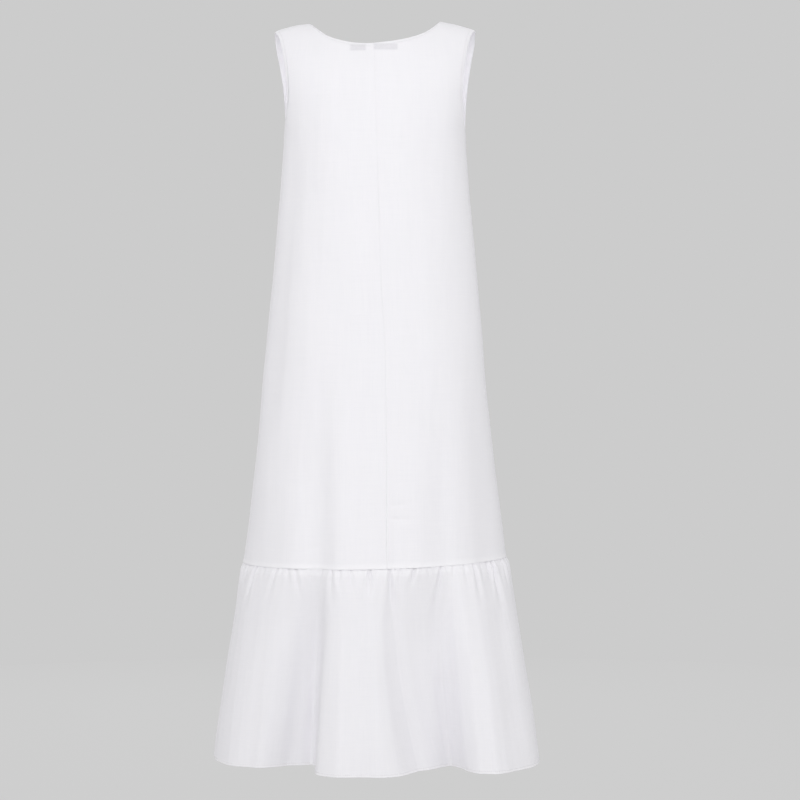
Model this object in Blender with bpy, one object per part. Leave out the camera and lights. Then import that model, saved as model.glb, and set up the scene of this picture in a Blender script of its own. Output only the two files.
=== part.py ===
"""A sleeveless, flared sundress with a gathered flounce, kept as the hollow form of its wearing.

Lengths are in metres and +Z is up. The front of the dress faces -Y and its back faces +Y.
The origin is the middle of the shoulder line, and drops are measured down from it.
"""

from collections import namedtuple

import bpy
import numpy as np

# Cloth and seams
WALL = 0.0015
SEAM_GAP = 0.0003

# Levels below the shoulder line
UNDERARM_DROP = 0.198
SEAM_DROP = 0.940
SEAM_TILT = 0.024
TILT_REACH = 0.300
HEM_DROP = 1.280

# Shoulders
NECK_POINT = 0.1140
SHOULDER_TIP = 0.1759
SHOULDER_LEAN = 0.010
NECK_SHARE = 0.647
CAP_BACK = 0.120
CAP_FRONT = 0.100

# The rounded line of the shoulders, from the middle out to their tips
Shoulder = namedtuple("Shoulder", "x left right")
SHOULDER = (
    Shoulder(0.0000, -0.0320, -0.0320),
    Shoulder(0.0600, -0.0155, -0.0165),
    Shoulder(0.1000, -0.0042, -0.0058),
    Shoulder(0.1140, -0.0006, -0.0022),
    Shoulder(0.1275, 0.0004, 0.0003),
    Shoulder(0.1380, 0.0020, 0.0026),
    Shoulder(0.1485, 0.0042, 0.0053),
    Shoulder(0.1590, 0.0071, 0.0084),
    Shoulder(0.1700, 0.0106, 0.0120),
    Shoulder(0.1759, 0.0145, 0.0145),
)

# Half widths, depths and squareness (2 is an ellipse) of the worn body. Above the
# underarm the half width is that of the whole form, of which the armhole cuts the end.
Section = namedtuple("Section", "drop back_half front_half back_depth front_depth square")
SECTIONS = (
    Section(0.000, 0.2000, 0.2090, 0.060, 0.056, 2.50),
    Section(0.030, 0.1930, 0.2072, 0.067, 0.064, 2.50),
    Section(0.063, 0.1845, 0.2015, 0.076, 0.075, 2.48),
    Section(0.098, 0.1770, 0.1929, 0.086, 0.088, 2.45),
    Section(0.130, 0.1700, 0.1814, 0.094, 0.101, 2.40),
    Section(0.160, 0.1635, 0.1690, 0.099, 0.112, 2.36),
    Section(0.180, 0.1600, 0.1624, 0.102, 0.119, 2.33),
    Section(0.198, 0.1580, 0.1580, 0.104, 0.124, 2.31),
    Section(0.270, 0.1625, 0.1625, 0.108, 0.137, 2.26),
    Section(0.340, 0.1680, 0.1680, 0.111, 0.142, 2.22),
    Section(0.440, 0.1775, 0.1775, 0.116, 0.145, 2.18),
    Section(0.540, 0.1870, 0.1870, 0.124, 0.149, 2.15),
    Section(0.660, 0.1980, 0.1980, 0.138, 0.156, 2.12),
    Section(0.800, 0.2125, 0.2125, 0.157, 0.167, 2.10),
    Section(0.940, 0.2295, 0.2295, 0.176, 0.180, 2.08),
)

# Where the armhole's edge stands across the body
Armhole = namedtuple("Armhole", "drop back_x front_x")
ARMHOLE = (
    Armhole(0.0145, 0.1755, 0.1759),
    Armhole(0.0195, 0.1703, 0.1758),
    Armhole(0.0300, 0.1655, 0.1755),
    Armhole(0.0630, 0.1578, 0.1703),
    Armhole(0.0980, 0.1535, 0.1653),
    Armhole(0.1300, 0.1520, 0.1623),
    Armhole(0.1600, 0.1535, 0.1600),
    Armhole(0.1800, 0.1558, 0.1590),
    Armhole(0.1980, 0.1580, 0.1580),
)

# The two necklines, from the picture's left neck point to its right one for the back
Neckline = namedtuple("Neckline", "x drop")
NECK_BACK = (
    Neckline(-0.1140, -0.0022),
    Neckline(-0.1040, 0.0095),
    Neckline(-0.0859, 0.0232),
    Neckline(-0.0655, 0.0318),
    Neckline(-0.0401, 0.0384),
    Neckline(-0.0149, 0.0424),
    Neckline(0.0104, 0.0447),
    Neckline(0.0356, 0.0425),
    Neckline(0.0561, 0.0378),
    Neckline(0.0794, 0.0289),
    Neckline(0.0977, 0.0150),
    Neckline(0.1140, -0.0006),
)
NECK_FRONT = (
    Neckline(-0.1140, -0.0022),
    Neckline(-0.1070, 0.0260),
    Neckline(-0.0940, 0.0520),
    Neckline(-0.0720, 0.0790),
    Neckline(-0.0420, 0.0975),
    Neckline(0.0000, 0.1050),
    Neckline(0.0420, 0.0975),
    Neckline(0.0720, 0.0790),
    Neckline(0.0940, 0.0520),
    Neckline(0.1070, 0.0260),
    Neckline(0.1140, -0.0006),
)

# The centre back seam drifts towards -X on its way down
CentreSeam = namedtuple("CentreSeam", "drop x")
CENTRE_BACK = (
    CentreSeam(0.045, 0.0010),
    CentreSeam(0.280, -0.0064),
    CentreSeam(0.463, -0.0120),
    CentreSeam(0.555, -0.0180),
    CentreSeam(0.655, -0.0202),
    CentreSeam(0.940, -0.0222),
)

# Soft folds of the body: a line from a high point to a low one, its half width, and how
# far the cloth stands in (or out, where it is negative) at the top and the bottom
Fold = namedtuple("Fold", "x_high drop_high x_low drop_low half_width depth_high depth_low")
FOLDS_BACK = (
    Fold(0.0930, 0.600, 0.0990, 0.960, 0.026, 0.0010, 0.0110),
    Fold(0.0580, 0.560, 0.0560, 0.960, 0.022, -0.0005, -0.0030),
    Fold(0.1400, 0.270, 0.1760, 0.640, 0.016, 0.0030, 0.0045),
    Fold(0.1620, 0.240, 0.1960, 0.600, 0.012, -0.0010, -0.0020),
    Fold(-0.1760, 0.600, -0.1960, 0.960, 0.020, 0.0015, 0.0060),
    Fold(-0.1000, 0.640, -0.1180, 0.960, 0.024, 0.0005, 0.0050),
    Fold(-0.0360, 0.760, -0.0340, 0.960, 0.015, 0.0000, 0.0035),
)
FOLDS_FRONT = (
    Fold(0.0620, 0.420, 0.0860, 0.960, 0.028, 0.0010, 0.0105),
    Fold(-0.0780, 0.360, -0.1020, 0.960, 0.026, 0.0010, 0.0090),
    Fold(-0.0060, 0.620, 0.0040, 0.960, 0.024, 0.0000, 0.0050),
    Fold(0.1380, 0.300, 0.1700, 0.760, 0.016, 0.0020, 0.0050),
    Fold(-0.1420, 0.280, -0.1780, 0.700, 0.016, 0.0020, 0.0040),
)

# The hem of the flounce in plan: its share of the way round each half, from one side
# seam to the other, where it stands, and how far it swings sideways half way down
Hem = namedtuple("Hem", "share x y sway")
HEM_BACK = (
    Hem(0.000, 0.2810, 0.0000, 0.000),
    Hem(0.055, 0.2760, 0.0400, 0.000),
    Hem(0.095, 0.2655, 0.0655, 0.000),
    Hem(0.135, 0.2500, 0.0920, 0.000),
    Hem(0.170, 0.2350, 0.1030, 0.000),
    Hem(0.205, 0.2140, 0.1120, 0.000),
    Hem(0.245, 0.1930, 0.1195, -0.002),
    Hem(0.285, 0.1640, 0.1100, -0.005),
    Hem(0.315, 0.1440, 0.0915, -0.006),
    Hem(0.338, 0.1240, 0.0930, -0.004),
    Hem(0.352, 0.1090, 0.0880, -0.001),
    Hem(0.362, 0.1000, 0.1000, 0.000),
    Hem(0.371, 0.0960, 0.1250, 0.000),
    Hem(0.381, 0.0985, 0.1520, 0.000),
    Hem(0.392, 0.0960, 0.1780, 0.000),
    Hem(0.408, 0.0750, 0.1990, 0.000),
    Hem(0.425, 0.0560, 0.2070, 0.000),
    Hem(0.463, 0.0220, 0.2060, 0.001),
    Hem(0.500, -0.0120, 0.2095, 0.004),
    Hem(0.522, -0.0400, 0.1990, 0.010),
    Hem(0.543, -0.0660, 0.1650, 0.015),
    Hem(0.555, -0.0760, 0.1490, 0.015),
    Hem(0.578, -0.0920, 0.1380, 0.013),
    Hem(0.605, -0.1070, 0.1210, 0.012),
    Hem(0.645, -0.1180, 0.1100, 0.008),
    Hem(0.680, -0.1310, 0.1010, 0.008),
    Hem(0.700, -0.1460, 0.1210, 0.006),
    Hem(0.716, -0.1580, 0.1520, 0.004),
    Hem(0.735, -0.1780, 0.1735, 0.000),
    Hem(0.765, -0.2000, 0.1760, 0.000),
    Hem(0.800, -0.2185, 0.1680, 0.000),
    Hem(0.840, -0.2385, 0.1470, 0.000),
    Hem(0.870, -0.2540, 0.1290, 0.000),
    Hem(0.900, -0.2685, 0.1130, 0.000),
    Hem(0.935, -0.2800, 0.0820, 0.000),
    Hem(0.970, -0.2845, 0.0420, 0.000),
    Hem(1.000, -0.2840, 0.0000, 0.000),
)
HEM_FRONT = (
    Hem(0.000, -0.2840, 0.0000, 0.000),
    Hem(0.045, -0.2820, -0.0400, 0.000),
    Hem(0.090, -0.2740, -0.0780, 0.000),
    Hem(0.140, -0.2480, -0.1130, 0.000),
    Hem(0.195, -0.2190, -0.1260, 0.000),
    Hem(0.240, -0.1980, -0.1200, 0.000),
    Hem(0.285, -0.1760, -0.1400, 0.006),
    Hem(0.320, -0.1560, -0.1730, 0.008),
    Hem(0.360, -0.1270, -0.1930, 0.006),
    Hem(0.400, -0.0990, -0.1880, 0.000),
    Hem(0.430, -0.0820, -0.1640, -0.006),
    Hem(0.465, -0.0590, -0.1590, -0.010),
    Hem(0.500, -0.0370, -0.1870, -0.006),
    Hem(0.540, -0.0060, -0.2100, 0.000),
    Hem(0.580, 0.0280, -0.2120, 0.000),
    Hem(0.615, 0.0560, -0.1950, 0.008),
    Hem(0.640, 0.0720, -0.1660, 0.012),
    Hem(0.670, 0.0930, -0.1500, 0.012),
    Hem(0.705, 0.1180, -0.1620, 0.008),
    Hem(0.740, 0.1430, -0.1850, 0.000),
    Hem(0.780, 0.1720, -0.1800, 0.000),
    Hem(0.815, 0.1960, -0.1530, 0.000),
    Hem(0.850, 0.2160, -0.1240, 0.000),
    Hem(0.885, 0.2380, -0.1120, 0.000),
    Hem(0.920, 0.2590, -0.0950, 0.000),
    Hem(0.960, 0.2750, -0.0520, 0.000),
    Hem(1.000, 0.2810, 0.0000, 0.000),
)
FLARE = 1.14

# The gathers under the seam: share of the way round each half, how far each runs down,
# and how deep it is
Gather = namedtuple("Gather", "share run depth")
GATHERS_BACK = (
    Gather(0.022, 0.035, 0.0024),
    Gather(0.060, 0.050, 0.0032),
    Gather(0.104, 0.040, 0.0028),
    Gather(0.146, 0.060, 0.0036),
    Gather(0.186, 0.030, 0.0018),
    Gather(0.232, 0.050, 0.0030),
    Gather(0.267, 0.025, 0.0020),
    Gather(0.300, 0.045, 0.0026),
    Gather(0.332, 0.030, 0.0016),
    Gather(0.361, 0.060, 0.0026),
    Gather(0.392, 0.070, 0.0036),
    Gather(0.415, 0.030, 0.0022),
    Gather(0.444, 0.035, 0.0022),
    Gather(0.491, 0.045, 0.0034),
    Gather(0.519, 0.022, 0.0018),
    Gather(0.545, 0.090, 0.0042),
    Gather(0.567, 0.022, 0.0020),
    Gather(0.609, 0.028, 0.0032),
    Gather(0.647, 0.022, 0.0016),
    Gather(0.685, 0.070, 0.0036),
    Gather(0.718, 0.024, 0.0022),
    Gather(0.749, 0.045, 0.0024),
    Gather(0.781, 0.060, 0.0034),
    Gather(0.808, 0.024, 0.0018),
    Gather(0.837, 0.035, 0.0034),
    Gather(0.862, 0.070, 0.0042),
    Gather(0.911, 0.050, 0.0030),
    Gather(0.942, 0.030, 0.0022),
    Gather(0.975, 0.045, 0.0028),
)
GATHERS_FRONT = (
    Gather(0.020, 0.040, 0.0026),
    Gather(0.052, 0.030, 0.0020),
    Gather(0.088, 0.060, 0.0034),
    Gather(0.120, 0.035, 0.0022),
    Gather(0.158, 0.050, 0.0032),
    Gather(0.190, 0.025, 0.0018),
    Gather(0.226, 0.070, 0.0036),
    Gather(0.262, 0.040, 0.0024),
    Gather(0.291, 0.030, 0.0020),
    Gather(0.330, 0.055, 0.0030),
    Gather(0.362, 0.030, 0.0020),
    Gather(0.400, 0.045, 0.0026),
    Gather(0.436, 0.080, 0.0040),
    Gather(0.470, 0.028, 0.0020),
    Gather(0.498, 0.040, 0.0026),
    Gather(0.536, 0.030, 0.0018),
    Gather(0.566, 0.050, 0.0030),
    Gather(0.604, 0.032, 0.0022),
    Gather(0.641, 0.080, 0.0040),
    Gather(0.672, 0.036, 0.0024),
    Gather(0.706, 0.026, 0.0018),
    Gather(0.742, 0.055, 0.0032),
    Gather(0.778, 0.034, 0.0022),
    Gather(0.806, 0.045, 0.0028),
    Gather(0.846, 0.060, 0.0036),
    Gather(0.880, 0.030, 0.0020),
    Gather(0.916, 0.050, 0.0030),
    Gather(0.950, 0.034, 0.0022),
    Gather(0.980, 0.042, 0.0026),
)
GATHER_HALF_WIDTH = 0.0042
PUFF = 0.0030

# The labels inside the back neck: from x_low to x_high, and how far they hang
Label = namedtuple("Label", "name x_low x_high hang")
LABELS = (
    Label("label_size", 0.0147, 0.0422, 0.0155),
    Label("label_brand", -0.0400, 0.0012, 0.0155),
)
LABEL_WALL = 0.0010

# How finely the pieces are divided
ACROSS_NECK = 6
ACROSS_SHOULDER = 7
LOWER_DROPS = (
    0.940, 0.885, 0.825, 0.760, 0.690, 0.620, 0.550, 0.480,
    0.415, 0.360, 0.315, 0.278, 0.248, 0.222, 0.198,
)
UPPER_RISES = (0.03, 0.08, 0.16, 0.28, 0.41, 0.54, 0.66, 0.77, 0.86, 0.93, 0.975, 0.994, 1.0)
FLOUNCE_RUNS = (0.0, 0.006, 0.014, 0.028, 0.050, 0.085, 0.130, 0.180, 0.235, 0.290, 0.340)
LONGEST_STEP = 0.0140


def along(rows, key, value, at):
    """A smooth line through one column of a table, read at any values of another."""
    keys = np.array([getattr(row, key) for row in rows])
    values = np.array([getattr(row, value) for row in rows])
    steps = np.diff(keys)
    rises = np.diff(values) / steps
    slopes = np.empty(len(keys))
    slopes[0], slopes[-1] = rises[0], rises[-1]
    before, after = rises[:-1], rises[1:]
    weight = (steps[1:] + 2 * steps[:-1], 2 * steps[1:] + steps[:-1])
    same_way = before * after > 0
    safe_before = np.where(same_way, before, 1)
    safe_after = np.where(same_way, after, 1)
    mean = (weight[0] + weight[1]) / (weight[1] / safe_before + weight[0] / safe_after)
    slopes[1:-1] = np.where(same_way, mean, 0)
    at = np.clip(at, keys[0], keys[-1])
    index = np.clip(np.searchsorted(keys, at) - 1, 0, len(steps) - 1)
    step = steps[index]
    t = (at - keys[index]) / step
    held = values[index] * (1 + 2 * t) * (1 - t) ** 2 + values[index + 1] * t * t * (3 - 2 * t)
    turned = slopes[index] * t * (1 - t) ** 2 + slopes[index + 1] * t * t * (t - 1)
    return held + step * turned


def smooth(t):
    """A step from 0 to 1 with no corner."""
    t = np.clip(t, 0, 1)
    return t * t * (3 - 2 * t)


def shoulder_drop(x):
    """How far the shoulder's line lies below the shoulder level, a little unlike on its two sides."""
    left = along(SHOULDER, "x", "left", np.abs(x))
    right = along(SHOULDER, "x", "right", np.abs(x))
    return np.where(x > 0, left, right)


def body_depth(x, drop, face):
    """How far the body stands from the plane of the shoulders, on its back or its front."""
    half = along(SECTIONS, "drop", face + "_half", drop)
    full = along(SECTIONS, "drop", face + "_depth", drop)
    square = along(SECTIONS, "drop", "square", drop)
    share = np.clip(np.abs(x) / half, 0, 1)
    rounded = (1 - share**square) ** (1 / square)
    cap = CAP_BACK if face == "back" else CAP_FRONT
    below = np.clip((drop - shoulder_drop(x)) / cap, 0, 1)
    return full * rounded * np.sqrt(1 - (1 - below) ** 2)


def fold_offset(x, drop, face):
    """How far the soft folds move the cloth outwards."""
    offset = np.zeros_like(x)
    for fold in FOLDS_BACK if face == "back" else FOLDS_FRONT:
        way = (drop - fold.drop_high) / (fold.drop_low - fold.drop_high)
        middle = fold.x_high + (fold.x_low - fold.x_high) * way
        depth = fold.depth_high + (fold.depth_low - fold.depth_high) * np.clip(way, 0, 1)
        ends = smooth((way + 0.25) / 0.35) * smooth((1.30 - way) / 0.30)
        offset -= depth * ends * np.exp(-(((x - middle) / fold.half_width) ** 2))
    return offset


def body_point(x, drop, face):
    """The cloth's outer side at x and drop, as an array of points."""
    sign = 1 if face == "back" else -1
    half = along(SECTIONS, "drop", face + "_half", drop)
    full = along(SECTIONS, "drop", face + "_depth", drop)
    square = along(SECTIONS, "drop", "square", drop)
    depth = body_depth(x, drop, face)
    out_x = np.sign(x) * np.clip(np.abs(x) / half, 0, 1) ** (square - 1) / half
    out_y = np.clip(depth / full, 0, 1) ** (square - 1) / full
    length = np.hypot(out_x, out_y)
    offset = fold_offset(x, drop, face)
    lean = SHOULDER_LEAN * x * smooth((UNDERARM_DROP - drop) / UNDERARM_DROP)
    return np.stack(
        [
            x + offset * out_x / length,
            sign * (depth + offset * out_y / length),
            -(drop + lean),
        ],
        axis=-1,
    )


def centre_x(drop, face):
    if face == "front":
        return np.zeros_like(drop)
    return along(CENTRE_BACK, "drop", "x", drop)


def edge_drop(x, face):
    """The upper edge of a panel: its neckline, then its shoulder seam."""
    neck = along(NECK_BACK if face == "back" else NECK_FRONT, "x", "drop", x)
    return np.where(np.abs(x) < NECK_POINT, neck, shoulder_drop(x))


def panel_grid(face, side, across, lower_drops, upper_rises):
    """x and drop over a half panel. Rows rise from the flounce seam to the upper edge."""
    across = np.asarray(across)[None, :]
    drop = np.asarray(lower_drops)[:, None]
    middle = centre_x(drop, face)
    half = along(SECTIONS, "drop", face + "_half", drop)
    lower_x = middle + (side * half - middle) * across
    lower_drop = drop + 0 * across
    rise = np.asarray(upper_rises)[:, None]
    foot_x = lower_x[-1:]
    top_middle = centre_x(np.array([[0.045]]), face)
    top_x = top_middle + (side * SHOULDER_TIP - top_middle) * across
    top_drop = edge_drop(top_x, face)
    upper_drop = UNDERARM_DROP + (top_drop - UNDERARM_DROP) * rise
    upper_x = foot_x + (top_x - foot_x) * rise
    wanted = side * along(ARMHOLE, "drop", face + "_x", upper_drop[:, -1:])
    upper_x = upper_x + (wanted - upper_x[:, -1:]) * across**4
    return np.vstack([lower_x, upper_x]), np.vstack([lower_drop, upper_drop])


def normals_of(points, outwards):
    """Unit normals of a grid of points. outwards is +1 or -1, for the way the grid runs."""
    down = np.gradient(points, axis=0)
    sideways = np.gradient(points, axis=1)
    normals = np.cross(down, sideways) * outwards
    length = np.linalg.norm(normals, axis=-1, keepdims=True)
    return normals / np.maximum(length, 1e-12)


def tilted(points):
    """The seam hangs a little lower on the left than on the right, and the cloth near it too."""
    away = np.abs(points[..., 2] + SEAM_DROP) / TILT_REACH
    points = points.copy()
    points[..., 2] -= SEAM_TILT * points[..., 0] * smooth(1 - away)
    return points


def shell_object(name, outer, inner, material):
    """One closed shell between two grids of points, with a rim round its four edges."""
    rows, columns = outer.shape[:2]
    count = rows * columns
    index = np.arange(count).reshape(rows, columns)
    a, b = index[:-1, :-1], index[:-1, 1:]
    c, d = index[1:, 1:], index[1:, :-1]
    outside = np.stack([a, b, c, d], axis=-1).reshape(-1, 4)
    inside = outside[:, ::-1] + count
    ring = np.concatenate([index[0, :-1], index[:-1, -1], index[-1, :0:-1], index[:0:-1, 0]])
    following = np.roll(ring, -1)
    rim = np.stack([following, ring, ring + count, following + count], axis=-1)
    faces = np.concatenate([outside, inside, rim])
    points = tilted(np.concatenate([outer.reshape(-1, 3), inner.reshape(-1, 3)]))
    mesh = bpy.data.meshes.new(name)
    mesh.from_pydata(points.tolist(), [], faces.tolist())
    mesh.materials.append(material)
    mesh.update()
    made = bpy.data.objects.new(name, mesh)
    bpy.context.collection.objects.link(made)
    return made


def across_shares():
    """Columns of a half panel, even round the form, with one at the neck point."""
    neck_angle = np.arcsin(NECK_SHARE)
    to_neck = np.linspace(0, neck_angle, ACROSS_NECK + 1)
    to_side = np.linspace(neck_angle, np.pi / 2, ACROSS_SHOULDER + 1)[1:]
    return np.sin(np.concatenate([to_neck, to_side]))


def half_panel(face, side):
    """Outer and inner grids of the part of a panel from its centre line to one side."""
    x, drop = panel_grid(face, side, across_shares(), LOWER_DROPS, UPPER_RISES)
    outer = body_point(x, drop, face)
    turn = 1 if face == "back" else -1
    normals = normals_of(outer, side * turn)
    inner = outer - WALL * normals
    inner[0, :, 2] = outer[0, :, 2]
    below_arm = len(LOWER_DROPS)
    inner[:below_arm, -1, 1] = outer[:below_arm, -1, 1]
    shoulder = np.abs(x[-1]) >= NECK_POINT - 0.001
    inner[-1, shoulder, 1] = outer[-1, shoulder, 1]
    inner[:, 0, 0] = outer[:, 0, 0]
    return outer, inner


def back_panel(name, side, material):
    outer, inner = half_panel("back", side)
    for grid in (outer, inner):
        grid[..., 0] += side * SEAM_GAP / 2
        grid[..., 1] += SEAM_GAP / 2
    if side > 0:
        outer, inner = outer[:, ::-1], inner[:, ::-1]
    return shell_object(name, outer, inner, material)


def front_panel(name, material):
    left_outer, left_inner = half_panel("front", 1)
    right_outer, right_inner = half_panel("front", -1)
    outer = np.hstack([right_outer[:, :0:-1], left_outer])
    inner = np.hstack([right_inner[:, :0:-1], left_inner])
    for grid in (outer, inner):
        grid[..., 1] -= SEAM_GAP / 2
    return shell_object(name, outer, inner, material)


def seam_ring(face, count=2001):
    """The body's lower edge in plan, with its folds, from one side seam to the other."""
    angle = np.linspace(0, np.pi, count)
    sign = 1 if face == "back" else -1
    x = sign * SECTIONS[-1].back_half * np.cos(angle)
    return body_point(x, np.full(count, SEAM_DROP), face)[:, :2]


def plan_share(line):
    steps = np.linalg.norm(np.diff(line, axis=0), axis=1)
    way = np.concatenate([[0], np.cumsum(steps)])
    return way / way[-1], way[-1]


def flounce_shares(gathers, length):
    """Columns of the flounce: three for each gather, and more where gathers stand apart."""
    width = GATHER_HALF_WIDTH / length
    shares = [0.0]
    for gather in gathers:
        shares += [gather.share - width, gather.share, gather.share + width]
    shares.append(1.0)
    filled = [0.0]
    for share in shares[1:]:
        gap = (share - filled[-1]) * length
        parts = max(1, int(np.ceil(gap / LONGEST_STEP)))
        filled += list(np.linspace(filled[-1], share, parts + 1)[1:])
    return np.array(filled)


def gather_offset(share, run, gathers, length):
    """How far the gathers move the cloth outwards, by share round and run down."""
    offset = PUFF * smooth(run / 0.012) * (1 - smooth((run - 0.015) / 0.090)) + 0 * share
    for gather in gathers:
        off_line = np.abs(share - gather.share) * length / GATHER_HALF_WIDTH
        valley = np.clip(1 - off_line, 0, 1)
        held = 0.45 + 0.55 * smooth(run / 0.010)
        offset = offset - gather.depth * valley * held * (1 - smooth(run / gather.run))
    return offset


def flounce_grid(face, shares, runs):
    """The flounce's outer side: rows down from the seam, columns round the half."""
    hem = HEM_BACK if face == "back" else HEM_FRONT
    gathers = GATHERS_BACK if face == "back" else GATHERS_FRONT
    line = seam_ring(face)
    line_share, length = plan_share(line)
    top = np.stack([np.interp(shares, line_share, line[:, axis]) for axis in (0, 1)], axis=-1)
    low = np.stack([along(hem, "share", axis, shares) for axis in ("x", "y")], axis=-1)
    sway = along(hem, "share", "sway", shares)
    run = np.asarray(runs)[:, None]
    t = run / (HEM_DROP - SEAM_DROP)
    flare = 1 - (1 - t) ** FLARE
    plan = top[None] + (low - top)[None] * flare[..., None]
    plan[..., 0] += 4 * t * (1 - t) * sway[None]
    tangent = np.gradient(plan, axis=1)
    tangent /= np.linalg.norm(tangent, axis=-1, keepdims=True)
    outward = np.stack([tangent[..., 1], -tangent[..., 0]], axis=-1)
    offset = gather_offset(shares[None], run, gathers, length)
    ends = np.minimum(smooth(shares / 0.012), smooth((1 - shares) / 0.012))
    plan = plan + outward * (offset * (0.3 + 0.7 * ends[None]))[..., None]
    drop = SEAM_DROP + run + 0 * shares[None]
    return np.concatenate([plan, -drop[..., None]], axis=-1)


def flounce(name, face, material):
    gathers = GATHERS_BACK if face == "back" else GATHERS_FRONT
    length = plan_share(seam_ring(face))[1]
    shares = flounce_shares(gathers, length)
    outer = flounce_grid(face, shares, FLOUNCE_RUNS)
    normals = normals_of(outer, 1)
    inner = outer - WALL * normals
    inner[0, :, 2] = outer[0, :, 2]
    inner[-1, :, 2] = outer[-1, :, 2]
    inner[:, 0, 1] = outer[:, 0, 1] = 0
    inner[:, -1, 1] = outer[:, -1, 1] = 0
    shift = SEAM_GAP / 2 if face == "back" else -SEAM_GAP / 2
    for grid in (outer, inner):
        grid[..., 1] += shift
        grid[0, :, 2] -= SEAM_GAP
    return shell_object(name, outer[:, ::-1], inner[:, ::-1], material)


def label(spec, material):
    """A flat woven strip hung inside the back neck, on the inner side of the panel."""
    x = np.linspace(spec.x_low, spec.x_high, 6)[None, :]
    top = edge_drop(x, "back") + 0.0008
    drop = top + spec.hang * np.linspace(0, 1, 3)[:, None]
    x = x + 0 * drop
    outer = body_point(x, drop, "back")
    normals = normals_of(outer, 1)
    if normals[1, 1, 1] < 0:
        normals = -normals
    outer_side = outer - (WALL + SEAM_GAP + 0.0002) * normals
    inner_side = outer_side - LABEL_WALL * normals
    return shell_object(spec.name, outer_side, inner_side, material)


def cloth_material(name, colour, roughness):
    material = bpy.data.materials.new(name)
    material.use_nodes = True
    shader = material.node_tree.nodes["Principled BSDF"]
    shader.inputs["Base Color"].default_value = (*colour, 1)
    shader.inputs["Roughness"].default_value = roughness
    shader.inputs["Metallic"].default_value = 0
    return material


def main():
    for old in list(bpy.data.objects):
        bpy.data.objects.remove(old)
    linen = cloth_material("white linen", (0.88, 0.88, 0.90), 0.85)
    ribbon = cloth_material("grey label ribbon", (0.45, 0.45, 0.47), 0.70)
    back_panel("back_left", 1, linen)
    back_panel("back_right", -1, linen)
    front_panel("front_body", linen)
    flounce("flounce_back", "back", linen)
    flounce("flounce_front", "front", linen)
    for spec in LABELS:
        label(spec, ribbon)


main()
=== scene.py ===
"""The looks of a white, sleeveless, flared sundress with a gathered flounce, seen from its back.

Lengths are in metres and +Z is up. The front of the dress faces -Y and its back faces +Y.
The origin is the middle of the shoulder line, and drops are measured down from it. Each
sewn piece is a thin sheet of cloth on the form of its solid in the frame.
"""

from collections import namedtuple

import bpy
import numpy as np
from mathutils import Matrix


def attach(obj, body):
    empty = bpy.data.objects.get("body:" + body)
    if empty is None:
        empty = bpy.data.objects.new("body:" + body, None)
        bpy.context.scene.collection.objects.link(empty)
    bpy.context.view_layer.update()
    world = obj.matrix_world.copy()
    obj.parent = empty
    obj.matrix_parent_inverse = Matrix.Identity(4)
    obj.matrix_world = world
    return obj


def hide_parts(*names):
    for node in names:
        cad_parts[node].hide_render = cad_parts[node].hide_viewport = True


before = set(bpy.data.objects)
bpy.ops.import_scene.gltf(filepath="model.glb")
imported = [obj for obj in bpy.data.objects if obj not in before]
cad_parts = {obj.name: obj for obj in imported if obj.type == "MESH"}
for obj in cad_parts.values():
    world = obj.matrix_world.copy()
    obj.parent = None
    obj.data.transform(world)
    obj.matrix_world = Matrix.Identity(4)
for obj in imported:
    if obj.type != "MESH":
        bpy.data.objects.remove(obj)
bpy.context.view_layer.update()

# Cloth: the linen itself, how much thicker its doubled edges are, and how softly those end
CLOTH = 0.0006
DOUBLED_MORE = 1.2
DOUBLED_FADE = 0.0012
SEWN_GAP = 0.00006

# Widths of the turned edges, the seam allowances and the strip pressed above the flounce
NARROW_HEM = 0.0065
FLOUNCE_HEM = 0.0055
SEAM_ALLOWANCE = 0.0095
PRESSED_STRIP = 0.0080

# The rectangle each sheet is cut from, and how much of it the narrowing panels fill
FLOUNCE_WIDTH = 0.960

# Levels below the shoulder line
CENTRE_NECK_DROP = 0.045
UNDERARM_DROP = 0.198
SEAM_DROP = 0.940
HEM_DROP = 1.280
FLOUNCE_DEPTH = HEM_DROP - SEAM_DROP

# The flounce seam's tilt, its lift this far from the middle, and how far the cloth follows it
SEAM_TILT = 0.021
SEAM_LIFT = 0.0035
SEAM_END = 0.22
TILT_REACH = 0.300

# Small relief of the sewing: the seams' rolled edges and bands, the hems' rims, bands and
# sunken stitch lines, and how far inside a hem's fold its stitches run
SEAM_ROLL = -0.00028
SEAM_BAND = 0.00024
HEM_RIM = -0.00040
HEM_BAND = 0.00018
HEM_SUNKEN = -0.00012
STITCH_INSET = 0.0010

# The centre back seam's puckers, and the strip above the flounce seam with its waves and tuck
PUCKER = 0.00016
PUCKER_LENGTH = 0.0085
STRIP_STAND = 0.00080
STRIP_WAVE = 0.00022
STRIP_WAVE_LENGTH = 0.0115
STRIP_TUCK = -0.00030

# Shoulders
NECK_POINT = 0.1140
SHOULDER_TIP = 0.1759
SHOULDER_LEAN = 0.010
NECK_SHARE = 0.647
CAP_BACK = 0.120
CAP_FRONT = 0.100

# The rounded line of the shoulders, from the middle out to their tips
Shoulder = namedtuple("Shoulder", "x left right")
SHOULDER = (
    Shoulder(0.0000, -0.0320, -0.0320),
    Shoulder(0.0600, -0.0155, -0.0165),
    Shoulder(0.1000, -0.0042, -0.0058),
    Shoulder(0.1140, -0.0006, -0.0022),
    Shoulder(0.1275, 0.0004, 0.0003),
    Shoulder(0.1380, 0.0020, 0.0026),
    Shoulder(0.1485, 0.0042, 0.0053),
    Shoulder(0.1590, 0.0071, 0.0084),
    Shoulder(0.1700, 0.0106, 0.0120),
    Shoulder(0.1759, 0.0145, 0.0145),
)

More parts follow.
